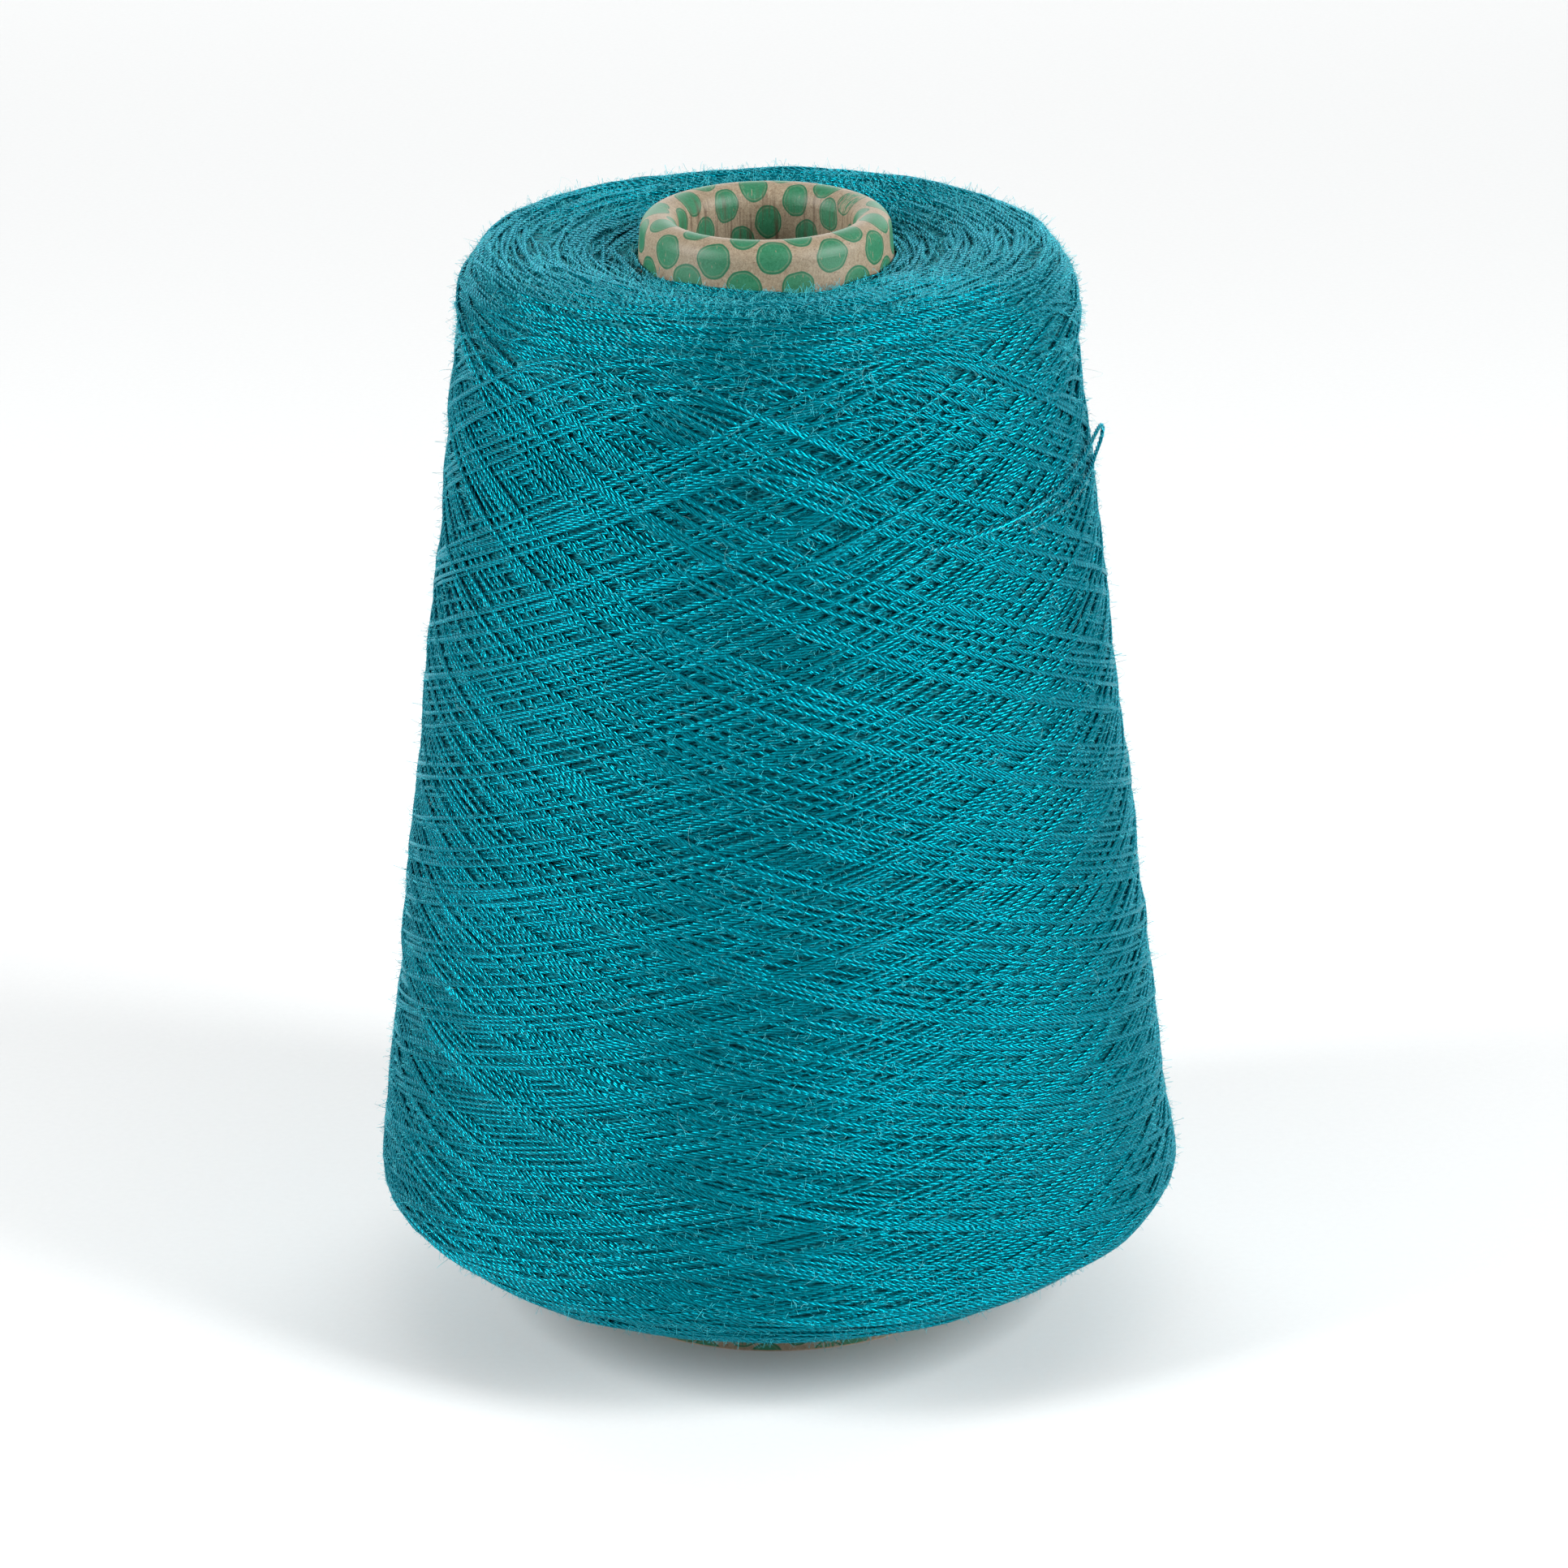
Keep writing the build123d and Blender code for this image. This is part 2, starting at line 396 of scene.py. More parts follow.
def traverse_path(outline, rng, length):
    """A continuous yarn guided up and down the package while it turns: its angle and its distance along
    the outline. It climbs fastest near the top and slows as it comes to each edge."""
    begins, over = CLIMB_RANGE
    climb = CLIMB[0] + CLIMB[1] * np.clip((outline.z - begins) / over, -0.15, 1.1)
    turned = np.concatenate([[0], np.cumsum(outline.STEP / climb[1:])])
    ends = outline.at_height(TURNS_BACK[0]) - RUNS_ON[0], outline.at_height(TURNS_BACK[1]) + RUNS_ON[1]
    low, high = np.interp(ends, outline.s, turned)
    angle, knots = 0.0, []
    for leg in range(int(length * 1000 / ((high - low + TURN_TIME) * USUAL_RADIUS)) + 1):
        edge, way = (high, 1) if leg % 2 else (low, -1)
        spread, shift = TURN_PLACES[leg % 2]
        beyond = np.clip(rng.normal(0, 1), -2, 2) * spread + shift
        knots.append((angle, edge + way * beyond / END_CLIMB))
        # About 1.3 turns for each traverse, changing slowly, so that the yarns don't lie in step.
        share = 0.375 + 0.006 * math.sin(TURN * leg / 61) + 0.0025 * math.sin(TURN * leg / 23)
        angle += math.pi * (3 - share) + rng.normal(0, 0.035)
    knots = np.array(knots)
    step = LAY_STEP / SIDE_RADIUS
    phi = np.arange(0, knots[-1, 0], step)
    level = smoothed(np.interp(phi, *knots.T), TURN_SOFTNESS / step)
    # The yarn wanders by 0.1 mm within about 6 mm and by 0.2 mm within about 24 mm.
    drift = sum(smoothed(rng.normal(0, 1, len(phi)), points) * size
                for points, size in ((14, 0.55), (60, 2.2)))
    return phi, np.interp(level, turned, outline.s) + drift


def edge_arcs(outline, rng, low, high, count, outward, span):
    """Yarns of the layers beneath, seen where they turn back at the package's end: nearly concentric
    arcs from the nose outward, whose ends run under the next ones."""
    from_end = 0.5      # mm, the nearest that an arc comes to an end of the outline
    dives, dive_over = 1.3, 9       # mm: how deep an arc's ends run under the next ones, and in what length
    arcs = []
    for share in np.linspace(0, 1, count):
        middle = low + (high - low) * share + rng.normal(0, 1.1)
        r = float(outline.radius(middle))
        width = rng.uniform(*span)
        phi = rng.uniform(0, TURN) + np.arange(0, width, LAY_STEP / r)
        side = 2 * (phi - phi[0]) / width - 1
        lift = rng.uniform(0.8, 4.5) * side ** 2 * outward         # mm, most at the arc's two ends
        sway = smoothed(rng.normal(0, 1, len(phi)), 12) * 0.8       # mm
        s = np.clip(middle + lift + sway, from_end, outline.length - from_end)
        ends = np.minimum(phi - phi[0], phi[-1] - phi) * r
        arcs.append((phi, s, dives * np.clip(1 - ends / dive_over, 0, 1) ** 2))
    return arcs


def lay_in_stretches(package, phi, s):
    """Lays a long yarn one stretch after another, each anchored a little beyond its ends."""
    height = np.empty(len(phi))
    for start in range(0, len(phi), STRETCH):
        stop = min(start + STRETCH, len(phi))
        a, b = max(0, start - LAP), min(len(phi), stop + LAP)
        keep = slice(start - a, stop - a)
        height[start:stop] = package.lay(phi[a:b], s[a:b], keep)[keep]
    return smoothed(height, JOIN)


# ---------------------------------------------------------------- tubes

STRIP_MARGIN = 0.08     # share of a strip's width that stays free along each side in the bake map
PLY_MAP_TURNS = 90      # turns of the plies, after which the map's numbers start again to stay small


def strip_rows(run, linked, lengths, sides, girth, rows):
    """Map coordinates in which each tube lies flat as a strip, the strips end to end in rows."""
    gap = 2 * girth / sides
    starts = linked & ~np.concatenate([[False], linked[:-1]])
    along = np.concatenate([[0], np.cumsum(np.where(linked, lengths, 0) + starts * gap)])[:-1] + gap
    along = along[linked]
    row_length = (along[-1] + lengths.max()) / rows * 1.0001
    row = np.floor(along / row_length)
    return row, along - row * row_length, lengths[linked], row_length + lengths.max() + gap, gap


def tube_mesh(name, rings, linked, run, girth, pitch):
    """Thin closed tubes: ring i is joined to ring i + 1 where linked[i]. run is each ring's distance along
    its yarn and pitch the length of a ply's turn, in mm. Maps: OFBake, flat strips in rows, and Ply."""
    count, sides = rings.shape[:2]
    linked = np.asarray(linked, bool)
    used = np.zeros(count, bool)
    used[:-1] |= linked
    used[1:] |= linked
    number = np.cumsum(used) - 1
    first = np.flatnonzero(linked)
    j = np.arange(sides)
    a, b = number[first][:, None] * sides, number[first + 1][:, None] * sides
    quads = np.stack([a + j, b + j, b + (j + 1) % sides, a + (j + 1) % sides], -1)
    before = np.concatenate([[False], linked[:-1]])
    opens = np.flatnonzero(linked & ~before)
    after = np.concatenate([linked[1:], [False]])
    closes = np.flatnonzero(linked & ~after) + 1
    caps = np.concatenate([number[opens][:, None] * sides + j, number[closes][:, None] * sides + j[::-1]])

    lengths = np.maximum(np.diff(run), 0.02)
    total = float(lengths[linked].sum()) + len(opens) * 2 * girth / sides
    rows = max(1, int(round(math.sqrt(total / (girth * 1.25)))))
    row, u0, seg, row_width, gap = strip_rows(run, linked, lengths, sides, girth, rows)
    lo, hi = ((row[:, None] + STRIP_MARGIN + (1 - 2 * STRIP_MARGIN) * k / sides) / rows for k in (j, j + 1))
    left, right = (np.broadcast_to((u / row_width)[:, None], lo.shape) for u in (u0, u0 + seg))
    bake = np.stack([left, lo, right, lo, right, hi, left, hi], -1).reshape(-1, 2)
    head = np.flatnonzero(np.isin(first, opens))
    tail = np.flatnonzero(np.isin(first + 1, closes))
    cap_u = np.concatenate([u0[head] - gap * 0.45, (u0 + seg)[tail] + gap * 0.45]) / row_width
    cap_v = (np.concatenate([row[head], row[tail]]) + 0.5) / rows
    spin = np.concatenate([np.tile(j, (len(head), 1)), np.tile(j[::-1], (len(tail), 1))]) / sides * TURN
    cap_bake = np.stack([cap_u[:, None] + 0.35 * gap * np.cos(spin) / row_width,
                         cap_v[:, None] + 0.3 * np.sin(spin) / rows], -1).reshape(-1, 2)

    turns = run / pitch
    t0 = np.mod(turns[first], PLY_MAP_TURNS)
    t1 = t0 + turns[first + 1] - turns[first]
    t0, t1 = (np.broadcast_to(t[:, None], lo.shape) for t in (t0, t1))
    v0, v1 = (np.broadcast_to(k / sides, lo.shape) for k in (j, j + 1))
    ply = np.stack([t0, v0, t1, v0, t1, v1, t0, v1], -1).reshape(-1, 2)

    mesh = bpy.data.meshes.new(name)
    points = rings[used].reshape(-1, 3) * MM
    mesh.vertices.add(len(points))
    mesh.vertices.foreach_set("co", points.astype(np.float32).ravel())
    quads = quads.reshape(-1, 4)
    corners = np.concatenate([quads.ravel(), caps.ravel()])
    sizes = np.concatenate([np.full(len(quads), 4), np.full(len(caps), sides)])
    mesh.loops.add(len(corners))
    mesh.loops.foreach_set("vertex_index", corners.astype(np.int32))
    mesh.polygons.add(len(sizes))
    mesh.polygons.foreach_set("loop_start", (np.cumsum(sizes) - sizes).astype(np.int32))
    mesh.update(calc_edges=True)
    for title, values, at_caps in (("OFBake", bake, cap_bake), ("Ply", ply, np.zeros_like(cap_bake))):
        layer = mesh.uv_layers.new(name=title, do_init=False)
        layer.uv.foreach_set("vector", np.concatenate([values, at_caps]).astype(np.float32).ravel())
    mesh.shade_smooth()
    mesh.validate()
    return mesh


def sideways(middle, out):
    """The directions across a yarn and away from its surface, both square to its middle line."""
    tangent = unit(np.gradient(middle, axis=-2))
    across = unit(np.cross(tangent, out))
    return across, np.cross(across, tangent)


def rings_round(middle, across, out, spin, half_width, half_height):
    """A ring of points round each point of a middle line, at the angles in spin."""
    half_width, half_height = (np.asarray(a)[..., None, None] for a in (half_width, half_height))
    return (middle[..., None, :] + half_width * np.cos(spin)[:, None] * across[..., None, :]
            + half_height * np.sin(spin)[:, None] * out[..., None, :])


# ---------------------------------------------------------------- materials

def silky_yarn(name, settings, groove_shade, relief_mm):
    """Viscose yarn, reactive dyed, plied and wound under tension. Continuous filaments give a long bright
    gloss in the colour of the dye; the plies break it into short dashes, with painted shade between them."""
    material, tree, shader = new_material(name)
    place = node(tree, "UVMap", uv_map="Ply")
    split = node(tree, "SeparateXYZ", {"Vector": place})
    turned = node(tree, "Math", {0: split.outputs["X"], 1: split.outputs["Y"]}, operation="ADD")
    phase = node(tree, "Math", {0: turned, 1: math.pi * settings.ply_count}, operation="MULTIPLY")
    wave = node(tree, "Math", {0: phase}, operation="COSINE")
    hump = node(tree, "Math", {0: wave}, operation="ABSOLUTE")
    ply = node(tree, "Math", {0: hump, 1: 0.9}, operation="POWER")
    # Filament bundles about 0.1 mm wide and 1.6 mm long, drawn coarser than the 0.015 mm filaments.
    stretched = node(tree, "Mapping", {"Vector": place, "Scale": (2.2, 22.0, 1.0)})
    fibres = node(tree, "TexNoise", {"Vector": stretched, "Scale": 1.0, "Detail": 3.0, "Roughness": 0.6})
    # Slow shade changes over about 20 mm, from uneven dye take-up in the package.
    cloudy = node(tree, "TexNoise", {"Vector": node(tree, "TexCoord").outputs["Object"], "Scale": 55.0,
                                     "Detail": 2.0})
    # Painted shade: the colour runs from the dye on each ply's crest to a darker colour where the plies meet,
    # standing for the shade there.
    tone = node(tree, "Mix", {0: ply, 6: (*groove_shade, 1), 7: (*settings.dye, 1)}, data_type="RGBA")
    value = node(tree, "MapRange", {0: fibres, 1: 0.3, 2: 0.7, 3: 0.78, 4: 1.2})
    shade = node(tree, "MapRange", {0: cloudy, 1: 0.3, 2: 0.7, 3: 0.93, 4: 1.06})
    both = node(tree, "Math", {0: value, 1: shade}, operation="MULTIPLY")
    relief = node(tree, "Math", {0: fibres, 1: 0.35, 2: ply}, operation="MULTIPLY_ADD")
    feed(shader, {
        "Base Color": node(tree, "HueSaturation", {"Value": both, "Color": tone}),
        "Roughness": node(tree, "MapRange", {0: fibres, 3: 0.11, 4: 0.33}),
        "Normal": node(tree, "Bump", {"Height": relief, "Strength": 1.0, "Distance": relief_mm * MM}),
        # Most of the gloss comes back through the dyed filament and takes its colour, as a metal's does.
        "Metallic": 0.72, "IOR": 1.54, "Specular Tint": (*settings.gloss, 1),
        "Sheen Weight": 0.17, "Sheen Roughness": 0.4, "Sheen Tint": (*settings.gloss, 1),
    })
    return material


def packed_yarn(settings):
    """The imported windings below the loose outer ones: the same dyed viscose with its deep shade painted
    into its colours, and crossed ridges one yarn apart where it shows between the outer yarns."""
    material, tree, shader = new_material("packed_viscose_windings")
    split = node(tree, "SeparateXYZ", {"Vector": node(tree, "TexCoord").outputs["Object"]})
    angle = node(tree, "Math", {0: split.outputs["Y"], 1: split.outputs["X"]}, operation="ARCTAN2")
    ridges = []
    for climb in (17 * MM, -17 * MM):       # in a radian, up one way and down the other
        rise = node(tree, "Math", {0: angle, 1: climb, 2: split.outputs["Z"]}, operation="MULTIPLY_ADD")
        count = node(tree, "Math", {0: rise, 1: TURN / (0.75 * MM)}, operation="MULTIPLY")
        ridges.append(node(tree, "Math", {0: count}, operation="SINE"))
    top = node(tree, "Math", dict(enumerate(ridges)), operation="MAXIMUM")
    fac = node(tree, "MapRange", {0: top, 1: -1.0, 2: 1.0})
    feed(shader, {
        # Painted shade: both colours are the dye darkened, as yarn lying in shade under the outer windings,
        # the darker one between the ridges.
        "Base Color": node(tree, "Mix", {0: fac, 6: (*settings.groove_shade, 1), 7: rgba("#008997")},
                           data_type="RGBA"),
        "Normal": node(tree, "Bump", {"Height": fac, "Distance": 0.3 * MM}),
        "Roughness": 0.7, "Metallic": 0.3, "Specular IOR Level": 0.15,
    })
    return material


def loose_fibre(name, code):
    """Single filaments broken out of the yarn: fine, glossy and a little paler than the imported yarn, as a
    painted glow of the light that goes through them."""
    material, tree, shader = new_material(name)
    noise = node(tree, "TexNoise", {"Vector": node(tree, "TexCoord").outputs["Object"], "Scale": 400.0,
                                    "Detail": 1.0})
    value = node(tree, "MapRange", {0: noise, 1: 0.3, 2: 0.7, 3: 0.8, 4: 1.25})
    feed(shader, {
        "Base Color": node(tree, "HueSaturation", {"Value": value, "Color": rgba(code)}),
        "Roughness": 0.5, "Specular IOR Level": 0.25, "Sheen Weight": 0.15, "Sheen Tint": rgba(code),
    })
    return material


# The cone under the yarn, with its rolled nose.
ROLL_RADIUS = 2.785         # mm
ROLL_CENTRE = 15.786        # mm from the axis
HALF_ANGLE = math.radians(4 + 20 / 60)


def cone_places(tree):
    """A place on the cone in millimetres, its height and its distance from the axis."""
    in_mm = node(tree, "VectorMath", {0: node(tree, "TexCoord").outputs["Object"], "Scale": 1 / MM},
                 operation="SCALE")
    level = node(tree, "VectorMath", {0: in_mm, 1: (1, 1, 0)}, operation="MULTIPLY")
    radius = node(tree, "VectorMath", {0: level}, operation="LENGTH")
    return in_mm, node(tree, "SeparateXYZ", {"Vector": in_mm}).outputs["Z"], radius


def flat_sheet(tree, in_mm, z, radius):
    """Where a point of the paper was on the flat sheet, a sector of a disc, before it was wound on the cone;
    with its angle round the cone, and how far the paper has run from the outside of the nose's roll, over it
    and down the throat. The sheet's middle is on the right and its seam on the left."""
    faced = node(tree, "Mapping", {"Vector": in_mm, "Rotation": (0, 0, math.radians(10))})
    faced = node(tree, "SeparateXYZ", {"Vector": faced})
    angle = node(tree, "Math", {0: faced.outputs["Y"], 1: faced.outputs["X"]}, operation="ARCTAN2")
    roll_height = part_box("printed_wrap")[1].z / MM - ROLL_RADIUS
    over = node(tree, "Math", {0: z, 1: roll_height}, operation="SUBTRACT")
    beside = node(tree, "Math", {0: radius, 1: ROLL_CENTRE}, operation="SUBTRACT")
    above = node(tree, "Math", {0: over, 1: 0.0}, operation="MAXIMUM")
    around = node(tree, "Math", {0: above, 1: beside}, operation="ARCTAN2")     # 0 outside, pi in the throat
    side = node(tree, "Math", {0: beside}, operation="SIGN")
    below = node(tree, "Math", {0: over, 1: 0.0}, operation="MINIMUM")
    straight = node(tree, "Math", {0: below, 1: side}, operation="MULTIPLY")
    run = node(tree, "Math", {0: around, 1: ROLL_RADIUS, 2: straight}, operation="MULTIPLY_ADD")
    apex = (ROLL_CENTRE + ROLL_RADIUS) / math.sin(HALF_ANGLE)
    reach = node(tree, "Math", {0: apex, 1: run}, operation="SUBTRACT")
    swing = node(tree, "Math", {0: angle, 1: math.sin(HALF_ANGLE)}, operation="MULTIPLY")
    flat = []
    for wave in ("SINE", "COSINE"):
        share = node(tree, "Math", {0: swing}, operation=wave)
        flat.append(node(tree, "Math", {0: reach, 1: share}, operation="MULTIPLY"))
    return node(tree, "CombineXYZ", dict(enumerate(flat))), angle, run


def dot_print(tree, settings, sheet):
    """How much ink covers the paper, and how much of that is the line of pooled ink at a dot's rim."""
    spacing, edge = settings.dot_spacing / MM, settings.dot_diameter / MM / 2
    uneven = 0.13       # of the spacing, how far the dots' outlines and places wander
    grid = node(tree, "Mapping", {"Vector": sheet, "Rotation": (0, 0, math.radians(38)),
                                  "Scale": (1 / spacing, 1 / spacing, 1), "Location": [-uneven / 2] * 3})
    wobble = node(tree, "TexNoise", {"Vector": sheet, "Scale": 0.3, "Detail": 1.0})
    grid = node(tree, "VectorMath", {0: wobble.outputs["Color"], 1: [uneven] * 3, 2: grid},
                operation="MULTIPLY_ADD")
    dots = node(tree, "TexVoronoi", {"Vector": grid, "Scale": 1.0, "Randomness": 0.16},
                voronoi_dimensions="2D")
    from_middle = node(tree, "Math", {0: dots, 1: spacing}, operation="MULTIPLY")
    # Steps across a dot: where each starts and ends, in mm from the dot's edge, and its two values.
    steps = ((-0.06, 0.06, 1, 0), (-0.3, -0.2, 0, 1), (-0.55, -0.45, 0, 0.22), (-0.34, -0.26, 1, 0))
    inside, at_rim, thin, before_rim = (
        node(tree, "MapRange", {0: from_middle, 1: edge + start, 2: edge + stop, 3: low, 4: high})
        for start, stop, low, high in steps)
    rim = node(tree, "Math", {0: inside, 1: at_rim}, operation="MULTIPLY")
    pale_ring = node(tree, "Math", {0: thin, 1: before_rim}, operation="MULTIPLY")

    # Slanting scuffs, rare on most dots and many on the few that the winding rubbed.
    slant = node(tree, "Mapping", {"Vector": sheet, "Rotation": (0, 0, 0.7), "Scale": (2.6, 0.5, 1)})
    streaks = node(tree, "TexNoise", {"Vector": slant, "Scale": 1.0, "Detail": 3.0, "Roughness": 0.6})
    chance = node(tree, "SeparateColor", {"Color": dots.outputs["Color"]})
    threshold = node(tree, "MapRange", {0: chance, 1: 0.88, 2: 0.92, 3: 0.67, 4: 0.48})
    past = node(tree, "Math", {0: streaks, 1: threshold}, operation="SUBTRACT")
    rubbed = node(tree, "MapRange", {0: past, 1: -0.015, 2: 0.035, 3: 0, 4: 0.85})
    off_rim = node(tree, "Math", {0: 1.0, 1: rim}, operation="SUBTRACT")
    scuffs = node(tree, "Math", {0: rubbed, 1: off_rim}, operation="MULTIPLY")
    cover = inside
    for loss in (scuffs, pale_ring):
        left = node(tree, "Math", {0: 1.0, 1: loss}, operation="SUBTRACT")
        cover = node(tree, "Math", {0: cover, 1: left}, operation="MULTIPLY")
    return cover, rim


def printed_kraft(settings):
    """Kraft paper, calendered and flexo printed with round dots, then wound on the cone and rolled in at the
    nose. The fibres give fine darker and paler specks, the ink pools in a darker line round each dot, and
    the winding has scuffed some dots. Where the paper turns in it is drawn into fine upright creases, and
    the throat's shade, darkest along the creases, is painted into the colour."""
    material, tree, shader = new_material("printed_kraft_paper_calendered")
    in_mm, z, radius = cone_places(tree)
    sheet, angle, run = flat_sheet(tree, in_mm, z, radius)
    cover, rim = dot_print(tree, settings, sheet)
    # The paper's felted fibres, drawn about 0.15 mm wide where the real ones are 0.03 mm.
    felt = node(tree, "TexNoise", {"Vector": in_mm, "Scale": 2.4, "Detail": 5.0, "Roughness": 0.7,
                                   "Distortion": 1.2})
    speck = node(tree, "TexVoronoi", {"Vector": in_mm, "Scale": 1.1})
    speck = node(tree, "MapRange", {0: speck, 1: 0.07, 2: 0.16, 3: 0.55, 4: 0.0})
    pooled = node(tree, "Math", {0: rim, 1: 0.7}, operation="MULTIPLY")

    tones = []
    # Paper, then ink: the felt's contrast and tones, the share of the chosen colour, and what darkens it.
    for low, high, dark, light, share, chosen, mark, mark_tone in (
        (0.36, 0.64, "#766550", "#A69881", 0.25, settings.paper, speck, "#5C4432"),
        (0.35, 0.7, "#1A5F3F", "#3E8564", 0.35, settings.ink, pooled, "#1B573A"),
    ):
        grain = node(tree, "MapRange", {0: felt, 1: low, 2: high})
        tone = node(tree, "Mix", {0: grain, 6: rgba(dark), 7: rgba(light)}, data_type="RGBA")
        tone = node(tree, "Mix", {0: share, 6: tone, 7: (*chosen, 1)}, data_type="RGBA")
        tones.append(node(tree, "Mix", {0: mark, 6: tone, 7: rgba(mark_tone)}, data_type="RGBA"))
    colour = node(tree, "Mix", {0: cover, 6: tones[0], 7: tones[1]}, data_type="RGBA")

    # The throat's creases: about 0.8 mm apart, along the paper's run.
    crease_at = node(tree, "CombineXYZ", {"X": angle, "Y": run})
    crease_at = node(tree, "Mapping", {"Vector": crease_at, "Scale": (13.0, 0.07, 1.0)})
    creases = node(tree, "TexNoise", {"Vector": crease_at, "Scale": 1.3, "Detail": 3.0, "Roughness": 0.65})
    turned_in = node(tree, "MapRange", {0: run, 1: ROLL_RADIUS * 1.9, 2: ROLL_RADIUS * 3.1})
    # Painted shade: in the turned-in throat the colour darkens towards a dark brown along the creases' low
    # lines.
    shadow = node(tree, "MapRange", {0: creases, 1: 0.34, 2: 0.5, 3: 0.75, 4: 0.0})
    shadow = node(tree, "Math", {0: turned_in, 1: shadow}, operation="MULTIPLY")
    folds = node(tree, "Math", {0: turned_in, 1: creases}, operation="MULTIPLY")
    ink_height = node(tree, "Math", {0: cover, 1: 0.15}, operation="MULTIPLY")
    height = node(tree, "Math", {0: felt, 1: 0.5, 2: ink_height}, operation="MULTIPLY_ADD")
    height = node(tree, "Math", {0: folds, 1: 3.0, 2: height}, operation="MULTIPLY_ADD")
    smooth = node(tree, "Math", {0: cover, 1: -0.05, 2: 0.42}, operation="MULTIPLY_ADD")
    feed(shader, {
        "Base Color": node(tree, "Mix", {0: shadow, 6: colour, 7: rgba("#4E3A2A")}, data_type="RGBA"),
        "Roughness": node(tree, "Math", {0: felt, 1: 0.25, 2: smooth}, operation="MULTIPLY_ADD"),
        "Normal": node(tree, "Bump", {"Height": height, "Strength": 1.0, "Distance": 0.05 * MM}),
        "IOR": 1.5,
    })
    return material


def kraft_board():
    """Recycled kraft board wound in layers and glued: grey-brown, matt, with fine fibres and the edges of
    the layers 0.4 mm apart on its cut end."""
    material, tree, shader = new_material("recycled_kraft_board_wound")
    in_mm, z, radius = cone_places(tree)
    # The board's felted fibres, drawn about 0.2 mm wide where the real ones are 0.03 mm.
    felt = node(tree, "TexNoise", {"Vector": in_mm, "Scale": 1.6, "Detail": 6.0, "Roughness": 0.7,
                                   "Distortion": 1.0})
    through = node(tree, "Math", {0: z, 1: math.tan(HALF_ANGLE), 2: radius}, operation="MULTIPLY_ADD")
    phase = node(tree, "Math", {0: through, 1: TURN / 0.4}, operation="MULTIPLY")
    layers = node(tree, "Math", {0: phase}, operation="SINE")
    mixed = node(tree, "Math", {0: layers, 1: 0.12, 2: felt}, operation="MULTIPLY_ADD")
    tone = node(tree, "MapRange", {0: mixed, 1: 0.25, 2: 0.75})
    feed(shader, {
        "Base Color": node(tree, "Mix", {0: tone, 6: rgba("#8F755E"), 7: rgba("#C9B39A")}, data_type="RGBA"),
        "Normal": node(tree, "Bump", {"Height": mixed, "Distance": 0.08 * MM}),
        "Roughness": 0.78,
    })
    return material


# ---------------------------------------------------------------- operators

laid = {}       # the outline and the laid package, for the operators that come after the winding


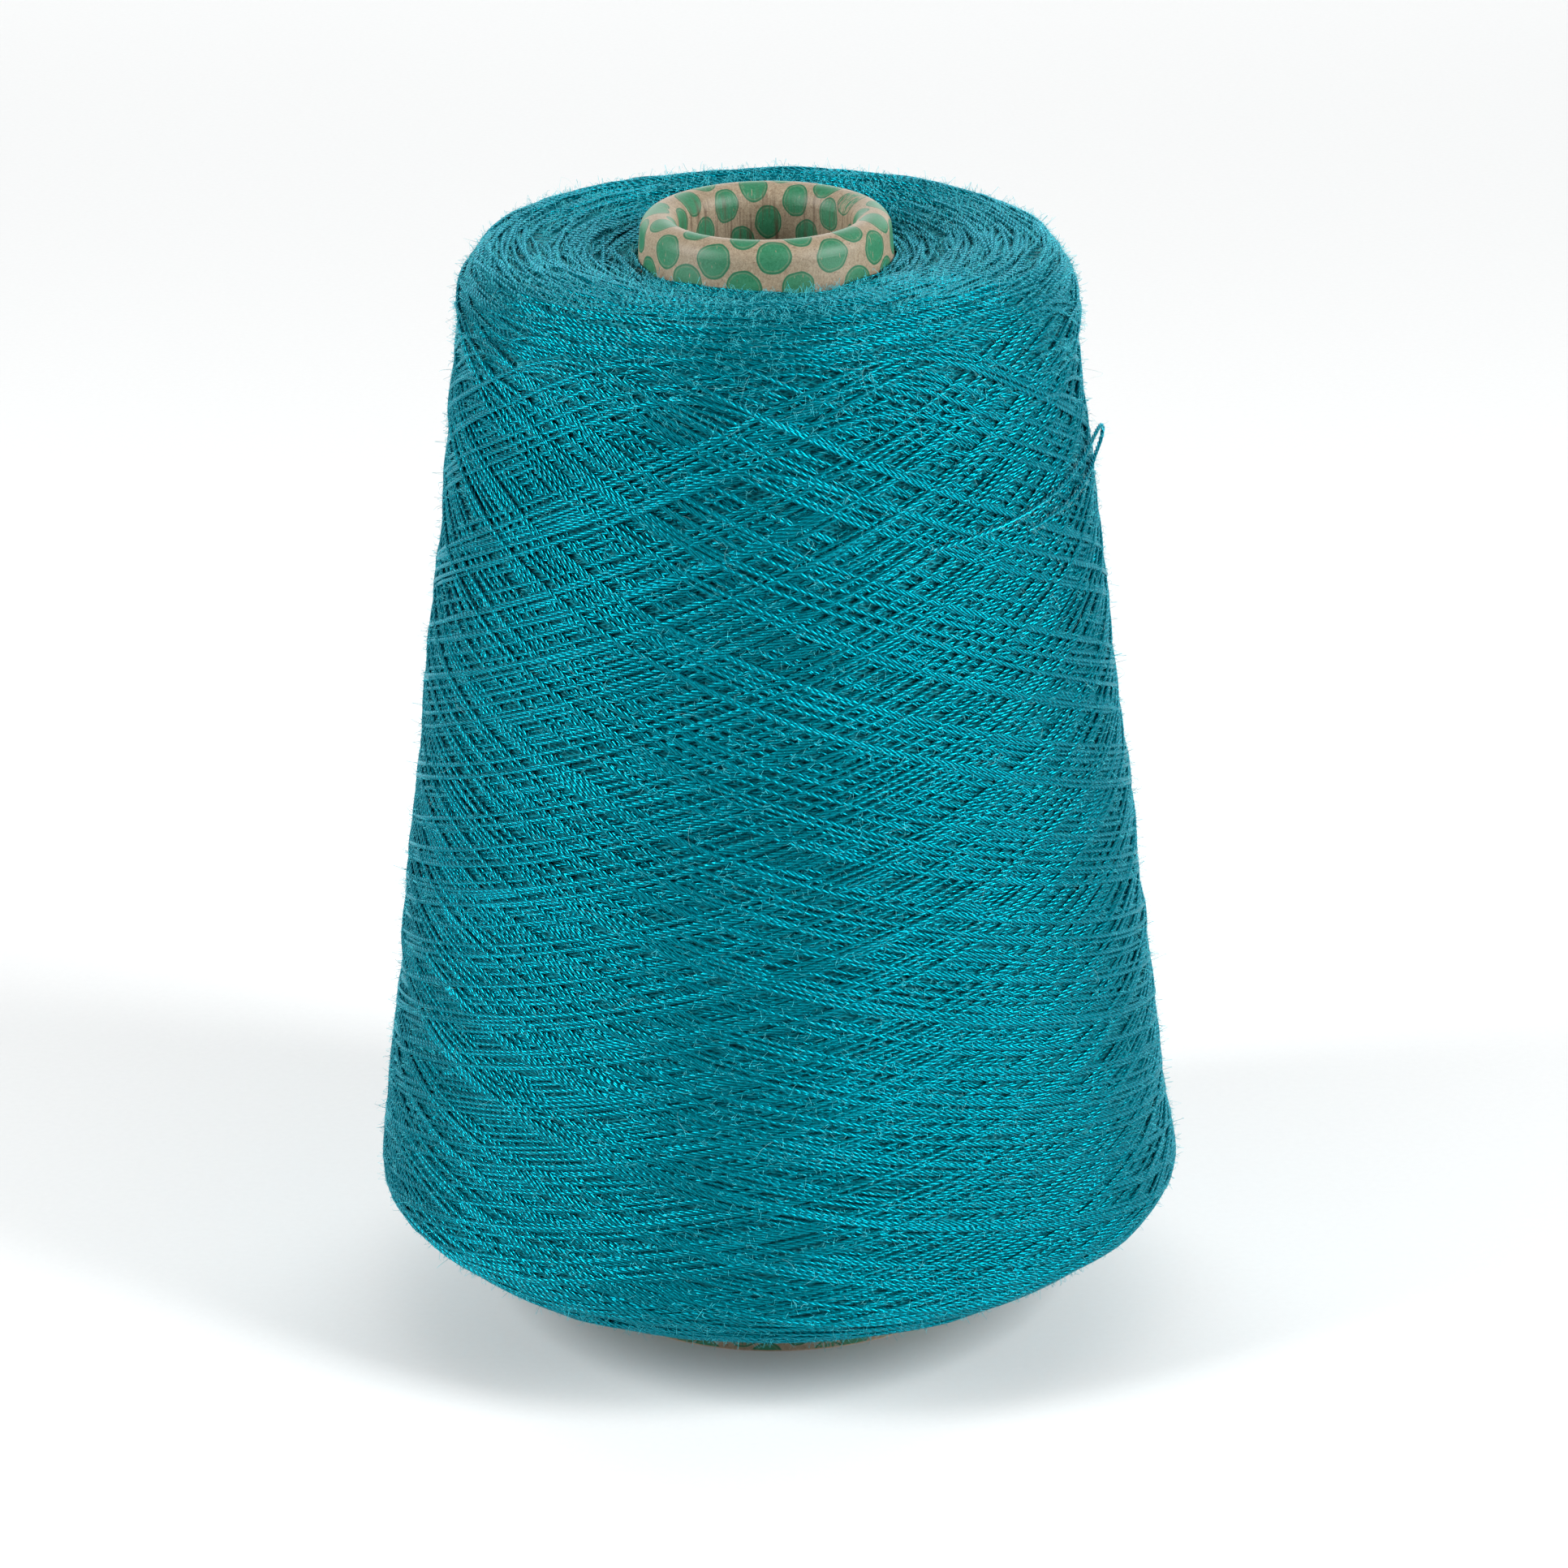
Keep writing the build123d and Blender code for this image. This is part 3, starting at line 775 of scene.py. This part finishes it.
class YARNCONE_OT_windings(bpy.types.Operator):
    """Winds the yarn package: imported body, crossed outer windings and the turned ends of earlier layers"""
    bl_idname = "yarncone.windings"
    bl_label = "Wind the yarn"

    WINDING_PIECES = 6
    SIDES = 5
    WINDINGS_EVERY, ARCS_EVERY = 5, 4       # laid points from one drawn ring to the next
    WINDINGS_DEPTH, ARCS_DEPTH = 0.45, 0.6  # mm under the yarns on top, down to which a yarn is drawn
    CROWN_ARCS, CROWN_SPAN = 1000, (0.35, 1.3)      # arcs seen at the crown, and their radians
    FOOT_ARCS, FOOT_SPAN = 640, (0.7, 2.0)
    CROWN_EDGE = 158                        # mm, height of the side's top corner
    SLUBS = 0.16                            # how unevenly thick the yarn is, before that is evened

    def execute(self, context):
        settings = context.scene.yarn_cone_yarn
        rng = np.random.default_rng(settings.seed)
        outline = Outline()
        package = Package(outline)
        # The arcs lie from just off the seat to a few millimetres short of the top corner and the belly.
        crown = outline.length - 0.8, outline.at_height(self.CROWN_EDGE) - 6
        foot = 1.2, float(outline.s[outline.belly]) - 3
        arcs = edge_arcs(outline, rng, *crown, self.CROWN_ARCS, -1, self.CROWN_SPAN)
        arcs += edge_arcs(outline, rng, *foot, self.FOOT_ARCS, 1, self.FOOT_SPAN)
        heights = [package.lay(phi, s, dive=dive) for phi, s, dive in arcs]
        phi, s = traverse_path(outline, rng, settings.wound_length)
        height = lay_in_stretches(package, phi, s)
        package.settle()
        laid.update(outline=outline, package=package, rng=rng)

        yarn = silky_yarn("dyed_viscose_yarn_wound", settings, settings.groove_shade, 0.15)
        every = slice(None, None, self.WINDINGS_EVERY)
        strands = [(phi[every], s[every], height[every])]
        self.add_group("yarn_windings", self.WINDING_PIECES, strands, self.WINDINGS_DEPTH, yarn)
        every = slice(None, None, self.ARCS_EVERY)
        strands = [(phi[every], s[every], height[every]) for (phi, s, _), height in zip(arcs, heights)]
        self.add_group("yarn_crown_turns", 1, strands[:self.CROWN_ARCS], self.ARCS_DEPTH, yarn)
        self.add_group("yarn_foot_turns", 1, strands[self.CROWN_ARCS:], self.ARCS_DEPTH, yarn)
        self.add_body(outline, package, settings)
        return {"FINISHED"}

    def add_group(self, title, pieces, strands, depth, yarn):
        """Draws the strands where they show, in pieces of about the same number of faces."""
        package, rng, settings = laid["package"], laid["rng"], bpy.context.scene.yarn_cone_yarn
        thick = settings.diameter / (NOMINAL_DIAMETER * MM)
        spin = np.arange(self.SIDES) / self.SIDES * TURN + TURN / 4
        rings, linked = [], []
        for phi, s, height in strands:
            show = package.shows(phi, s, height, depth)
            show = show | np.roll(show, 1) | np.roll(show, -1)
            slub = thick * (1 + self.SLUBS * smoothed(rng.normal(0, 1, len(phi)), 2.5))
            middle = package.outline.place(phi, s, package.settled(s, height))
            across, out = sideways(middle, package.outline.normal(phi, s))
            rings.append(rings_round(middle, across, out, spin, HALF_WIDTH * slub, HALF_HEIGHT * slub))
            linked.append(np.append(show[:-1] & show[1:], False))
        rings, linked = np.concatenate(rings), np.concatenate(linked)
        run = distances(rings.mean(1))
        cuts = np.searchsorted(np.cumsum(linked), np.linspace(0, linked.sum(), pieces + 1)[1:-1])
        edges = [0, *cuts.tolist(), len(rings) - 1]
        girth = math.pi * (HALF_WIDTH + HALF_HEIGHT) * thick
        for number, (a, b) in enumerate(zip(edges[:-1], edges[1:])):
            if not linked[a:b].any():
                raise RuntimeError(f"{title}: nothing of it shows")
            name = f"{title}_{number + 1}" if pieces > 1 else title
            mesh = tube_mesh(name, rings[a:b + 1], linked[a:b], run[a:b + 1], girth, settings.ply_pitch / MM)
            own_piece(name, mesh, yarn, "yarn_package")

    def add_body(self, outline, package, settings):
        """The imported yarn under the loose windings, closed along the seat on the cone."""
        around = np.arange(360) / 360 * TURN
        rings = [outline.place(around, at, package.bed(around, at))
                 for at in np.repeat(outline.s[::4, None], len(around), 1)]
        foot, nose = rings[0], rings[-1]
        for share in np.linspace(1, 0, 24)[1:-1]:
            rings.append(foot + (nose - foot) * share)
        points = np.array(rings) * MM
        rows, count = points.shape[:2]
        i, j = np.meshgrid(np.arange(rows), np.arange(count), indexing="ij")
        down, over = (i + 1) % rows, (j + 1) % count
        faces = [i * count + j, i * count + over, down * count + over, down * count + j]
        mesh = bpy.data.meshes.new("yarn_packed_body")
        mesh.from_pydata(points.reshape(-1, 3).tolist(), [], np.stack(faces, -1).reshape(-1, 4).tolist())
        layer = mesh.uv_layers.new(name="OFBake", do_init=False)
        u, v, wide, tall = j / count, i / rows, 1 / count, 1 / rows
        uv = np.stack([u, v, u + wide, v, u + wide, v + tall, u, v + tall], -1) * 0.98 + 0.01
        layer.uv.foreach_set("vector", uv.astype(np.float32).ravel())
        mesh.shade_smooth()
        own_piece("yarn_packed_body", mesh, packed_yarn(settings), "yarn_package")


# The route of the yarn's outer end: degrees round from +X, height in mm, and lift in mm over the side.
END_ROUTE = [
    (-62.0, 131.3, 0.65), (-53.0, 131.9, 0.72), (-44.0, 132.6, 0.73), (-35.0, 133.4, 0.74),
    (-26.0, 134.4, 0.73), (-17.0, 135.5, 0.76), (-8.5, 136.4, 1.09), (-1.5, 136.9, 2.04),
    (1.4, 135.9, 2.58), (-0.6, 134.5, 2.02), (-6.0, 133.4, 0.99), (-13.5, 132.5, 0.78),
    (-22.0, 131.6, 0.78), (-31.0, 130.9, 0.75), (-40.0, 130.4, 0.74),
]
BELLY_RADIUS, BELLY_HEIGHT = 60.5, 21.5     # mm
SIDE_TAPER = 14.8 / 128                     # mm that the side draws in for each mm of height
SIDE_FACES = np.array([1, 1, 0.1])          # turns a place on the side into the way that the side faces


class YARNCONE_OT_outer_end(bpy.types.Operator):
    """Lays the yarn's outer end: a hairpin of two strands that ends in a small standing loop"""
    bl_idname = "yarncone.outer_end"
    bl_label = "Lay the outer end"

    RING_STEP = 0.15        # mm
    SIDES = 7
    PLY_THICK = 0.46        # of the yarn's diameter
    PLY_APART = 0.5         # of the yarn's diameter, across which the plies' middles circle
    TAPER = 0.8             # mm, in which the plies thin out at the yarn's ends

    def execute(self, context):
        settings = context.scene.yarn_cone_yarn
        path = self.route()
        run = distances(path)
        at = np.arange(0, run[-1], self.RING_STEP * MM)
        middle = smoothed(np.stack([np.interp(at, run, path[:, k]) for k in range(3)], 1), 2.0) / MM
        across, outward = sideways(middle, unit(middle * SIDE_FACES))
        half_ply = self.PLY_THICK / 2 * settings.diameter / MM
        off_middle = self.PLY_APART / 2 * settings.diameter / MM
        taper = np.clip(np.minimum(at, run[-1] - at) / (self.TAPER * MM), 0.35, 1)
        spin = np.arange(self.SIDES) / self.SIDES * TURN
        rings = []
        for ply in range(settings.ply_count):
            turned = TURN * (at / settings.ply_pitch + ply / settings.ply_count)[:, None]
            centre = middle + off_middle * (np.cos(turned) * across + np.sin(turned) * outward)
            rings.append(rings_round(centre, across, outward, spin, half_ply * taper, half_ply * taper))
        one = np.append(np.ones(len(at) - 1, bool), False)
        linked, run = (np.tile(each, settings.ply_count) for each in (one, at / MM))
        mesh = tube_mesh("yarn_outer_end", np.concatenate(rings), linked[:-1], run, TURN * half_ply,
                         settings.ply_pitch / MM)
        laid["end"] = middle
        yarn = silky_yarn("dyed_viscose_yarn_loose", settings, settings.dye, 0.02)
        end = own_piece("yarn_loose_end", mesh, yarn, "yarn_outer_end")
        return {"FINISHED"}

    @staticmethod
    def route():
        """The smooth curve along the route, as points in metres."""
        curve = bpy.data.curves.new("outer_end_route", "CURVE")
        curve.dimensions = "3D"
        curve.resolution_u = 24
        spline = curve.splines.new("NURBS")
        spline.points.add(len(END_ROUTE) - 1)
        for point, (turned, height, lift) in zip(spline.points, END_ROUTE):
            r = (BELLY_RADIUS - (height - BELLY_HEIGHT) * SIDE_TAPER + lift) * MM
            a = math.radians(turned)
            point.co = (r * math.cos(a), r * math.sin(a), height * MM, 1.0)
        spline.order_u = 3
        spline.use_endpoint_u = True
        holder = bpy.data.objects.new("outer_end_route", curve)
        line = bpy.data.meshes.new_from_object(holder)
        path = np.array([tuple(v.co) for v in line.vertices])
        bpy.data.objects.remove(holder)
        bpy.data.curves.remove(curve)
        bpy.data.meshes.remove(line)
        return path


class YARNCONE_OT_nap(bpy.types.Operator):
    """Raises the nap: short fibres all over the package and its outer end, and a few long strays"""
    bl_idname = "yarncone.nap"
    bl_label = "Raise the nap"

    PIECES = 4
    # Drawn coarser than the real 0.02 mm filaments, so that they hold together in a picture. Sizes in mm.
    NAP_RADIUS, NAP_KNOTS, NAP_LENGTHS = 0.033, 3, (0.7, 2.2)
    STRAY_RADIUS, STRAY_KNOTS, STRAY_LENGTHS = 0.018, 5, (2.5, 7.0)
    END_FIBRES, END_LENGTHS = 260, (0.8, 2.4)       # on the yarn's outer end
    ON_CROWN, CROWN_FROM = 3.0, 151         # times as many on the crown, above this height
    ROOTED = 0.06                           # mm below the yarn's surface
    TIP = 0.4                               # a fibre's thickness at its tip, as a share of that at its root

    def execute(self, context):
        if "end" not in laid:
            raise RuntimeError("wind the yarn and lay its outer end before raising the nap")
        settings = context.scene.yarn_cone_yarn
        rng, end = laid["rng"], laid["end"]
        # Both colours are paler than the yarn's: a painted glow of the light going through the fibres.
        teal = loose_fibre("viscose_nap_fibre", "#48C2CE")
        pale = loose_fibre("viscose_stray_fibre", "#8CCFD3")
        for number in range(self.PIECES):
            roots = self.roots(rng, settings.nap_fibres // self.PIECES)
            lengths = rng.uniform(*self.NAP_LENGTHS, len(roots[0]))
            self.add(f"yarn_nap_{number + 1}", rng, roots, lengths, self.NAP_RADIUS, self.NAP_KNOTS, teal)
        roots = self.roots(rng, settings.stray_fibres)
        end = end[rng.integers(0, len(end), self.END_FIBRES)]
        out = unit(end * SIDE_FACES + rng.normal(0, 30, end.shape))
        roots = tuple(np.concatenate(pair) for pair in zip(roots, (end, out)))
        lengths = np.concatenate([rng.uniform(*self.STRAY_LENGTHS, settings.stray_fibres),
                                  rng.uniform(*self.END_LENGTHS, self.END_FIBRES)])
        self.add("yarn_strays", rng, roots, lengths, self.STRAY_RADIUS, self.STRAY_KNOTS, pale)
        return {"FINISHED"}

    def roots(self, rng, count):
        """Where fibres come out of the yarn, and the way out there; more of them on the crown."""
        outline, package = laid["outline"], laid["package"]
        weight = outline.r * np.where(outline.z > self.CROWN_FROM, self.ON_CROWN, 1.0)
        s = outline.s[rng.choice(len(outline.s), count, p=weight / weight.sum())]
        s = np.clip(s + rng.uniform(-0.2, 0.2, count), 1.0, outline.length - 1.0)
        phi = rng.uniform(0, TURN, count)
        height = package.settled(s, package.field[package.cells(phi, s)])
        return outline.place(phi, s, height - self.ROOTED), outline.normal(phi, s)

    def add(self, name, rng, roots, length, radius, knots, material):
        """Thin curved hairs: out of the surface, along it and often back."""
        root, out = roots
        count, sides = len(root), 3
        share = np.linspace(0, 1, knots)
        around = unit(np.cross([0.0, 0.0, 1.0], out) + 1e-9)
        up = np.cross(out, around)
        # Three in five lie nearly level, half of them each way, and the rest lie anyhow.
        way = np.where(rng.random(count) < 0.6, rng.normal(0, 0.7, count), rng.uniform(0, TURN, count))
        way = way + np.where(rng.random(count) < 0.5, math.pi, 0)
        way = way[:, None] + rng.normal(0, 1.1, count)[:, None] * share
        run = np.diff(length[:, None] * (share - 0.35 * share ** 2), axis=1, prepend=0)
        rise = rng.gamma(2.0, 0.23, count) * np.sqrt(length)
        rise = rise[:, None] * np.sin(share * rng.uniform(1.6, 3.3, count)[:, None])
        level, upright = (np.cumsum(run * part, 1)[..., None] for part in (np.cos(way), np.sin(way)))
        middle = (root[:, None] + level * around[:, None] + upright * up[:, None]
                  + rise[..., None] * out[:, None])
        across, over = sideways(middle, out[:, None] + 1e-3)
        thick = radius * np.linspace(1.0, self.TIP, knots)
        rings = rings_round(middle, across, over, np.arange(sides) / sides * TURN, thick, thick)
        rings = rings.reshape(-1, sides, 3)
        linked = np.tile(np.append(np.ones(knots - 1, bool), False), count)[:-1]
        steps = np.linalg.norm(np.diff(rings.mean(1), axis=0), axis=1) * linked
        mesh = tube_mesh(name, rings, linked, np.append(0, np.cumsum(steps)), TURN * radius,
                         bpy.context.scene.yarn_cone_yarn.ply_pitch / MM)
        own_piece(name, mesh, material, "yarn_package")


class YARNCONE_OT_cone(bpy.types.Operator):
    """Gives the board cone and its printed paper their materials"""
    bl_idname = "yarncone.cone"
    bl_label = "Finish the cone"

    def execute(self, context):
        repaint("cone_board", kraft_board())
        repaint("printed_wrap", printed_kraft(context.scene.yarn_cone_cone))
        return {"FINISHED"}


class YARNCONE_OT_stage(bpy.types.Operator):
    """Sets the pale sweep, the soft lights and the camera"""
    bl_idname = "yarncone.stage"
    bl_label = "Set the stage"

    FLOOR_REACH, DOME_REACH = 5.0, 6.0      # m
    LIT_POINT = (0, 0, 0.085)               # m, where the softboxes point
    CEILING_WIDTH = 60                      # degrees across
    CEILING_TILT = (-38, 0, -10)            # degrees
    # Azimuth and elevation in degrees, distance, width and height in m, and share of the softboxes' power.
    # The third box is the lit backdrop, which gives the crown and both edges their pale gloss.
    SOFTBOXES = (
        ("softbox_left", -70, 25, 0.95, 0.35, 0.6, 1.0),
        ("softbox_right", 62, 25, 0.95, 0.35, 0.6, 1.2),
        ("backdrop_box", 180, 16, 1.6, 2.6, 0.8, 1.8),
    )

    def execute(self, context):
        scene, settings = context.scene, context.scene.yarn_cone_stage
        scene.view_settings.view_transform = "Standard"
        self.add_floor()
        self.add_backdrop()
        world = bpy.data.worlds.new("pale_studio")
        world.use_nodes = True
        feed(world.node_tree.nodes["Background"], {"Color": rgba("#F7FAFB"), "Strength": 0.05})
        scene.world = world
        self.add_lights(settings)
        self.add_camera(scene, settings)
        return {"FINISHED"}

    @staticmethod
    def circle(count, reach, height):
        return [(reach * math.cos(TURN * i / count), reach * math.sin(TURN * i / count), height)
                for i in range(count)]

    def add_floor(self):
        """Matt white paper, calendered, with a fine grain that just keeps it from being flat."""
        mesh = bpy.data.meshes.new("pale_floor")
        around = self.circle(96, self.FLOOR_REACH, 0.0)
        mesh.from_pydata(around, [], [list(range(len(around)))])
        material, tree, shader = new_material("matt_white_paper_sweep")
        grain = node(tree, "TexNoise", {"Vector": node(tree, "TexCoord").outputs["Object"], "Scale": 900.0})
        tone = node(tree, "Mix", {0: grain, 6: rgba("#E4E5E5"), 7: rgba("#E8E9E9")}, data_type="RGBA")
        feed(shader, {"Base Color": tone, "Roughness": 0.9, "Specular IOR Level": 0.1})
        mesh.materials.append(material)
        in_scene("pale_floor", mesh)

    def add_backdrop(self):
        """A pale dome behind everything, which lights nothing."""
        mesh = bpy.data.meshes.new("pale_backdrop")
        rows, count = 13, 48
        points = []
        for rise in np.linspace(-0.06, math.pi / 2 - 0.02, rows):
            points += self.circle(count, self.DOME_REACH * math.cos(rise), self.DOME_REACH * math.sin(rise))
        faces = [(j + i, j + (i + 1) % count, j + count + (i + 1) % count, j + count + i)
                 for j in range(0, (rows - 1) * count, count) for i in range(count)]
        mesh.from_pydata(points, [], faces + [list(range((rows - 1) * count, rows * count))])
        material, _, shader = new_material("lit_white_backdrop")
        feed(shader, {"Base Color": (0, 0, 0, 1), "Emission Color": rgba("#FAFCFC"),
                      "Emission Strength": 1.0})
        mesh.materials.append(material)
        dome = in_scene("pale_backdrop", mesh)
        for ray in ("diffuse", "glossy", "transmission", "volume_scatter", "shadow"):
            setattr(dome, f"visible_{ray}", False)

    def add_lights(self, settings):
        """Softboxes at the sides and behind, and a ceiling."""
        for name, azimuth, elevation, distance, wide, tall, share in self.SOFTBOXES:
            light = bpy.data.lights.new(name, "AREA")
            light.shape = "RECTANGLE"
            light.size, light.size_y, light.energy = wide, tall, settings.softbox_power * share
            lamp = in_scene(name, light)
            a, e = math.radians(azimuth), math.radians(elevation)
            back = Vector((math.sin(a) * math.cos(e), -math.cos(a) * math.cos(e), math.sin(e)))
            lamp.location = Vector(self.LIT_POINT) + back * distance
            lamp.rotation_mode = "QUATERNION"
            lamp.rotation_quaternion = back.to_track_quat("Z", "Y")
            lamp.visible_camera = False

        # A broad source high behind, like a lit ceiling, whitens the sweep evenly and leaves a soft shadow.
        # Most of it is bounced so widely that it gives the yarn no gloss.
        for name, share, gloss in (("ceiling", 0.25, True), ("ceiling_bounce", 0.75, False)):
            light = bpy.data.lights.new(name, "SUN")
            light.energy, light.angle = settings.overhead_power * share, math.radians(self.CEILING_WIDTH)
            lamp = in_scene(name, light)
            lamp.rotation_euler = [math.radians(a) for a in self.CEILING_TILT]
            lamp.visible_glossy = gloss

    def add_camera(self, scene, settings):
        """Looks a little down at the package, from the front."""
        e = settings.elevation
        back = Vector((0, -math.cos(e), math.sin(e)))
        camera = bpy.data.cameras.new("studio_camera")
        camera.lens, camera.sensor_width = settings.lens, 36.0
        camera.clip_start, camera.clip_end = 0.05, 30
        view = in_scene("studio_camera", camera)
        target = Vector((settings.aim_side, 0, settings.aim_height))
        turn = Matrix.Rotation(settings.roll, 4, back)
        view.matrix_world = Matrix.Translation(target + back * settings.distance) @ turn.inverted() \
            @ back.to_track_quat("Z", "Y").to_matrix().to_4x4()
        scene.camera = view


class YARNCONE_PT_panel(bpy.types.Panel):
    """Lists the yarn cone's steps and settings"""
    bl_idname = "YARNCONE_PT_panel"
    bl_label = "Yarn Cone"
    bl_space_type = "VIEW_3D"
    bl_region_type = "UI"
    bl_category = "Yarn Cone"

    def draw(self, context):
        for group, steps in STEPS:
            box = self.layout.box()
            settings = getattr(context.scene, group)
            for name in settings.__annotations__:
                box.prop(settings, name)
            for step in steps:
                box.operator(step.bl_idname)


STEPS = (
    ("yarn_cone_stage", (YARNCONE_OT_stage,)),
    ("yarn_cone_yarn", (YARNCONE_OT_windings, YARNCONE_OT_outer_end, YARNCONE_OT_nap)),
    ("yarn_cone_cone", (YARNCONE_OT_cone,)),
)
GROUPS = {
    "yarn_cone_yarn": YarnSettings, "yarn_cone_cone": ConeSettings, "yarn_cone_stage": StageSettings,
}
CLASSES = (*GROUPS.values(), *(step for _, steps in STEPS for step in steps), YARNCONE_PT_panel)


def register():
    for made in CLASSES:
        bpy.utils.register_class(made)
    for name, group in GROUPS.items():
        setattr(bpy.types.Scene, name, bpy.props.PointerProperty(type=group))


def unregister():
    for name in GROUPS:
        delattr(bpy.types.Scene, name)
    for made in reversed(CLASSES):
        bpy.utils.unregister_class(made)


def main():
    register()
    bpy.ops.yarncone.stage()
    bpy.ops.yarncone.windings()
    bpy.ops.yarncone.outer_end()
    bpy.ops.yarncone.nap()
    bpy.ops.yarncone.cone()


if __name__ == "__main__":
    main()
